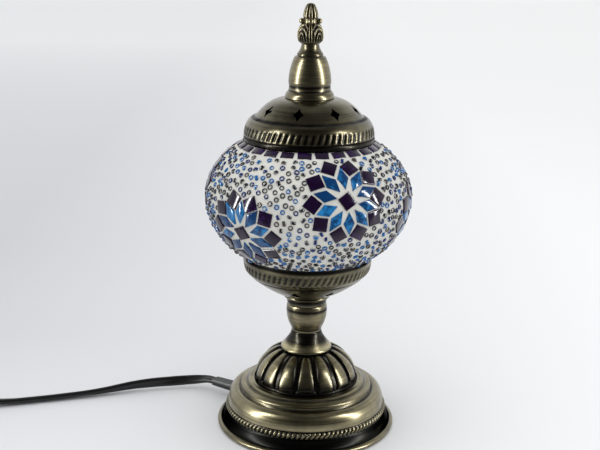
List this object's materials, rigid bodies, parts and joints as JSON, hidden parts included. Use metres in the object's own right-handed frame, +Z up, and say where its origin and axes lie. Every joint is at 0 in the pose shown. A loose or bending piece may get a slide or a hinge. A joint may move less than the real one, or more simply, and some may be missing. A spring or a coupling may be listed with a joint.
{
  "type": "mosaic table lamp",
  "caption": "Table lamp with a mosaic glass globe held in a pierced metal gallery on a stepped base, under a pierced cap with a cast finial, with a switched mains lead.",
  "frame": {"origin": "centre of the round foot, on the surface the lamp stands on", "axes": "+Z up along the stem; -Y is the front; the lead leaves the back of the base towards -X"},
  "size_m": [0.4759, 0.1551, 0.273],
  "materials": {
    "antique_brass": "antique bronze finish: dark oxide in the hollows, brushed high spots, clear lacquer",
    "steel": "zinc plated",
    "ballast_iron": "raw, oiled",
    "felt": "black felt",
    "black_plastic": "black, satin gloss",
    "lead_sheath": "black PVC, satin",
    "rocker_plastic": "black, glossy",
    "clamp_nylon": "natural nylon",
    "porcelain": "unglazed",
    "contact_brass": "bright",
    "nickel": "nickel plated",
    "contact_glass": "black vitrite with a solder tip",
    "bulb_glass": "clear",
    "filament": "phosphor-coated LED filaments",
    "seal_rubber": "black, matte",
    "blown_glass": "clear, under the grout",
    "grout": "white plaster grout with set glass beads",
    "purple_glass": "deep purple cut glass with rounded edges",
    "blue_glass": "blue cut glass, mottled"
  },
  "bodies": {
    "stand": {"foot_pad": "felt", "base_plate": "steel", "ballast_disc": "ballast_iron", "base_shell": "antique_brass", "fluted_dome": "antique_brass", "trumpet_collar": "antique_brass", "stem_vase": "antique_brass", "gallery_collar": "antique_brass", "gallery": "antique_brass", "threaded_tube": "steel", "base_washer": "steel", "base_nut": "steel", "gallery_nut": "steel", "lead_gland": "black_plastic", "lead_clamp": "clamp_nylon", "clamp_screws": "steel", "inner_lead": "lead_sheath", "holder_cap": "black_plastic", "holder_insulator": "porcelain", "holder_sleeve": "black_plastic", "contact_shell": "contact_brass", "centre_contact": "contact_brass", "terminal_screws": "contact_brass", "seat_gasket": "seal_rubber", "lamp_lead": "lead_sheath", "switch_base": "black_plastic", "switch_cover": "black_plastic", "switch_screws": "steel", "switch_contacts": "contact_brass", "rocker_pin": "steel", "coil_lead": "lead_sheath", "lead_coil": "lead_sheath", "coil_tie": "black_plastic", "plug_lead": "lead_sheath", "plug_body": "black_plastic", "plug_pins": "nickel"},
    "globe": {"globe_glass": "blown_glass", "grout_layer": "grout", "purple_tiles": "purple_glass", "blue_tiles": "blue_glass", "border_tiles": "purple_glass"},
    "cap": {"top_cap": "antique_brass", "cap_gasket": "seal_rubber", "spring_spider": "steel", "neck_ferrule": "antique_brass", "finial_stud": "steel", "stud_washer": "steel", "stud_nut": "steel"},
    "finial": {"finial": "antique_brass"},
    "bulb": {"bulb_cap": "nickel", "bulb_contact": "contact_glass", "bulb_glass": "bulb_glass", "bulb_stem": "bulb_glass", "bulb_filaments": "filament"},
    "rocker": {"switch_rocker": "rocker_plastic"}
  },
  "joints": [
    {"name": "globe_lift", "type": "slide", "parent": "stand", "child": "globe", "axis": [0, 0, 1], "range_m": [0, 0.09]},
    {"name": "cap_lift", "type": "slide", "parent": "globe", "child": "cap", "axis": [0, 0, 1], "range_m": [0, 0.06]},
    {"name": "finial_turn", "type": "hinge", "parent": "cap", "child": "finial", "pos_m": [0, 0, 0.2417], "axis": [0, 0, 1], "range_deg": [0, 360]},
    {"name": "bulb_turn", "type": "hinge", "parent": "stand", "child": "bulb", "pos_m": [0, 0, 0.125], "axis": [0, 0, 1], "range_deg": [0, 1080]},
    {"name": "rocker_tilt", "type": "hinge", "parent": "stand", "child": "rocker", "pos_m": [-0.284, 0.01, 0.0126], "axis": [0, 1, 0], "range_deg": [0, 10]}
  ]
}
